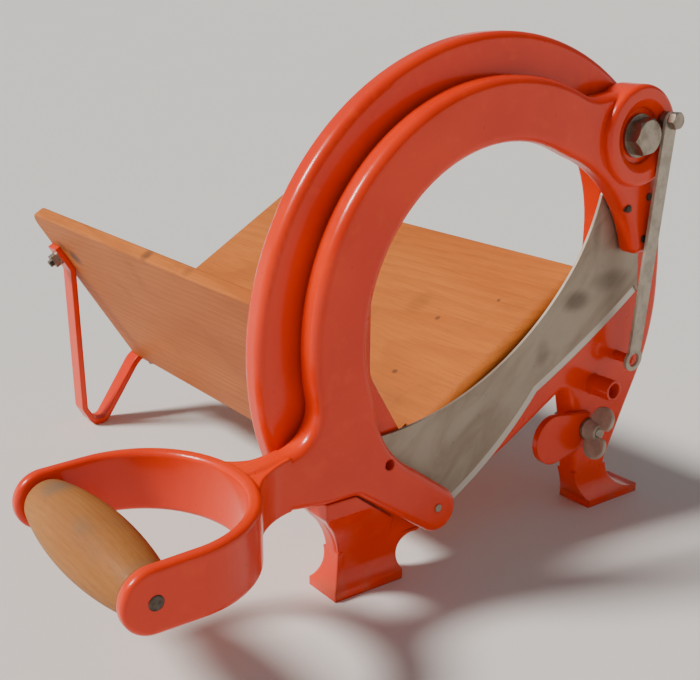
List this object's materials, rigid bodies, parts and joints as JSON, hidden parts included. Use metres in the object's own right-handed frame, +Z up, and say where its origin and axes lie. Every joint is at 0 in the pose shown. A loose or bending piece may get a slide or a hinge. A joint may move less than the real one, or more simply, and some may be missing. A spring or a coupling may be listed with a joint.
{
  "type": "lever-arm bread slicer",
  "caption": "Bread slicer: a painted iron arm with a sickle blade swings on a round frame with an arched window, and a V-shaped wooden trough behind carries the loaf.",
  "frame": {"origin": "middle of the bounding box's bottom face, on the table", "axes": "+X runs along the cutting plane from the handle towards the pivot column, +Y from the cutting side back along the trough, +Z up"},
  "size_m": [0.4088, 0.3968, 0.296],
  "materials": {
    "orange_enamel": "gloss",
    "blade_steel": "worn",
    "zinc": "dull",
    "bronze": "satin",
    "beech_grip": "bare",
    "oiled_boards": "varnished"
  },
  "bodies": {
    "base": {"frame": "orange_enamel", "pivot_bolt": "zinc", "pivot_head_washer": "zinc", "pivot_thrust_washer": "bronze", "pivot_back_washer": "zinc", "pivot_spring_washer": "zinc", "pivot_nut": "zinc", "paddle_stud": "zinc", "paddle_washer": "zinc", "left_board": "oiled_boards", "right_board": "oiled_boards", "board_nails": "zinc", "shelf_screws": "zinc", "rear_leg": "orange_enamel", "leg_bolt": "zinc", "leg_nut": "zinc", "leg_screws": "zinc"},
    "cutting_arm": {"arm": "orange_enamel", "blade": "blade_steel", "blade_tip_screw": "zinc", "blade_heel_screws": "zinc", "pivot_bush": "bronze", "strap_screw": "zinc", "strap_washer": "zinc", "grip_rod": "zinc", "grip_washers": "zinc"},
    "handle_grip": {"grip": "beech_grip"},
    "strap": {"lock_strap": "zinc"},
    "paddle": {"stop_paddle": "orange_enamel"},
    "wing": {"wing_nut": "zinc"}
  },
  "joints": [
    {"name": "arm_swing", "type": "hinge", "parent": "base", "child": "cutting_arm", "pos_m": [0.15069, -0.13393, 0.238], "axis": [0, 1, 0], "range_deg": [0, 80]},
    {"name": "grip_spin", "type": "hinge", "parent": "cutting_arm", "child": "handle_grip", "pos_m": [-0.18681, -0.13643, 0.0776], "axis": [0, 1, 0], "continuous": true},
    {"name": "strap_swing", "type": "hinge", "parent": "cutting_arm", "child": "strap", "pos_m": [0.16769, -0.15513, 0.2465], "axis": [0, 1, 0], "range_deg": [-100, 5]},
    {"name": "paddle_turn", "type": "hinge", "parent": "base", "child": "paddle", "pos_m": [0.14069, -0.13223, 0.057], "axis": [0, 1, 0], "range_deg": [-35, 40]},
    {"name": "wing_turn", "type": "hinge", "parent": "base", "child": "wing", "pos_m": [0.14069, -0.13993, 0.057], "axis": [0, 1, 0], "range_deg": [0, 270]}
  ]
}
